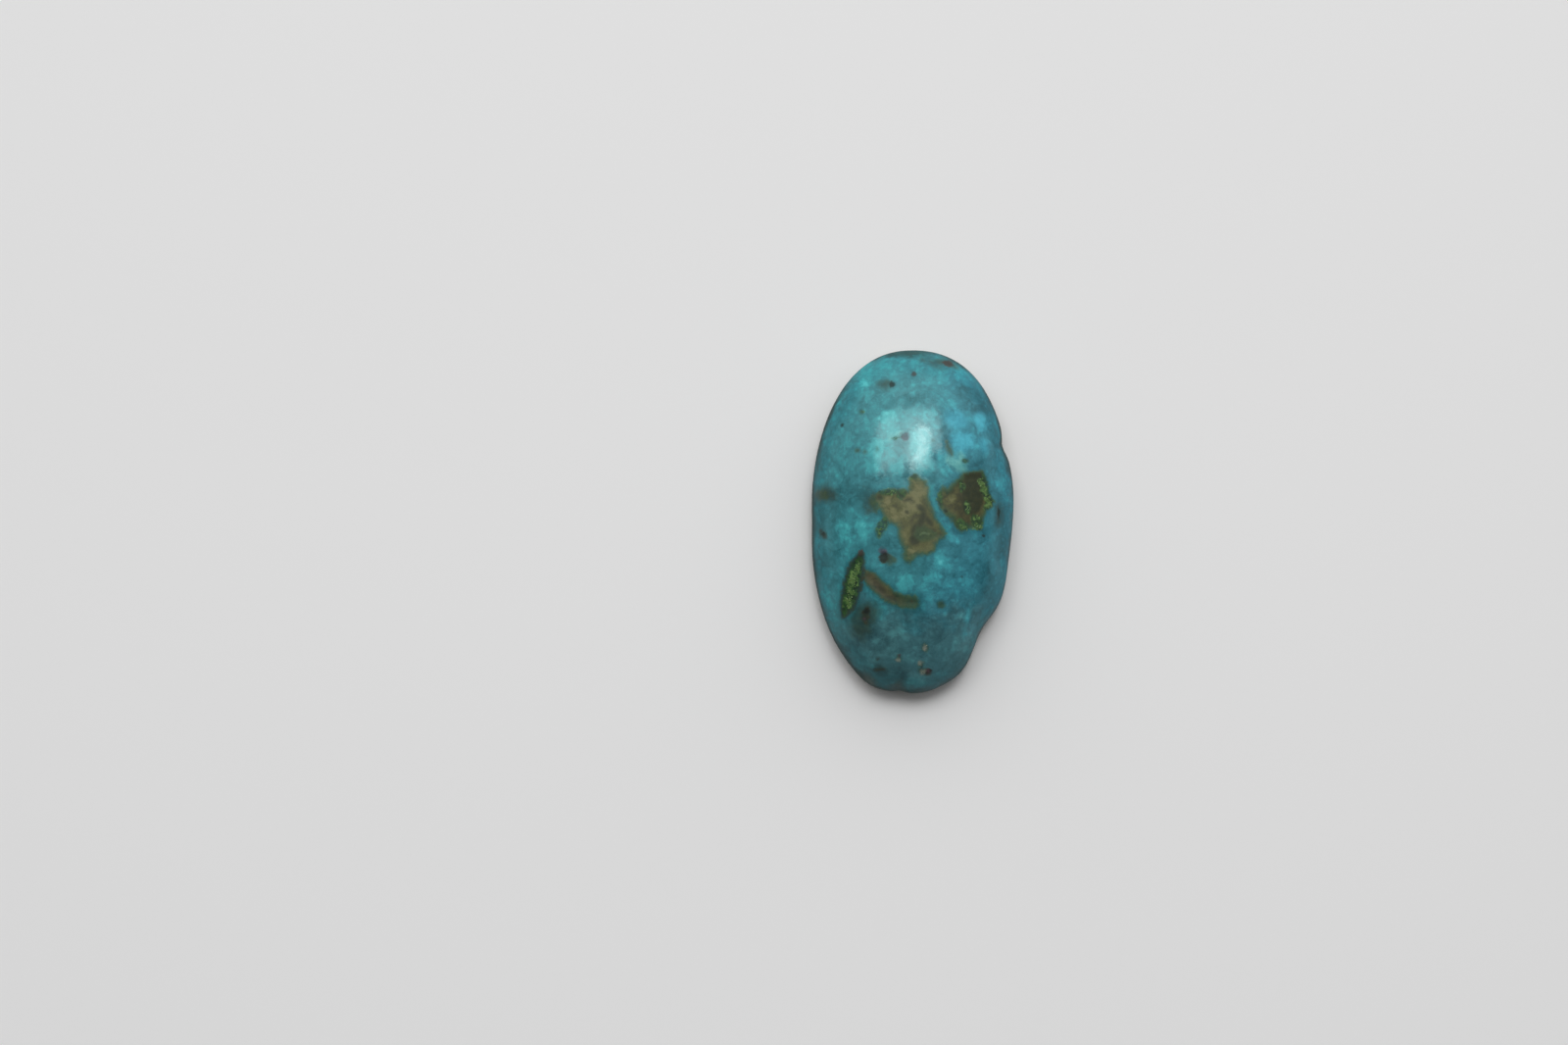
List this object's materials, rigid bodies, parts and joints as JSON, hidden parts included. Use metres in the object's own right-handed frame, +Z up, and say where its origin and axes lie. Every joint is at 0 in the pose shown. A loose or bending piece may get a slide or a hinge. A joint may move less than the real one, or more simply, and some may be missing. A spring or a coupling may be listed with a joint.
{
  "type": "polished oval turquoise stone with brown host rock",
  "caption": "Oval domed turquoise stone, satin polished, with patches of tan and olive host rock, green specks and small pits; lies on its flat ground back.",
  "frame": {"origin": "middle of the stone's footprint, on the plane of its flat back", "axes": "+Z up out of the dome, +Y along the length towards the end that is at the top of the picture, +X across the width"},
  "size_m": [0.0206, 0.035, 0.0088],
  "materials": {
    "turquoise": "satin polished, mottled blue-green with tan, olive and green host rock"
  },
  "bodies": {
    "root": {"turquoise_stone": "turquoise"}
  },
  "joints": []
}
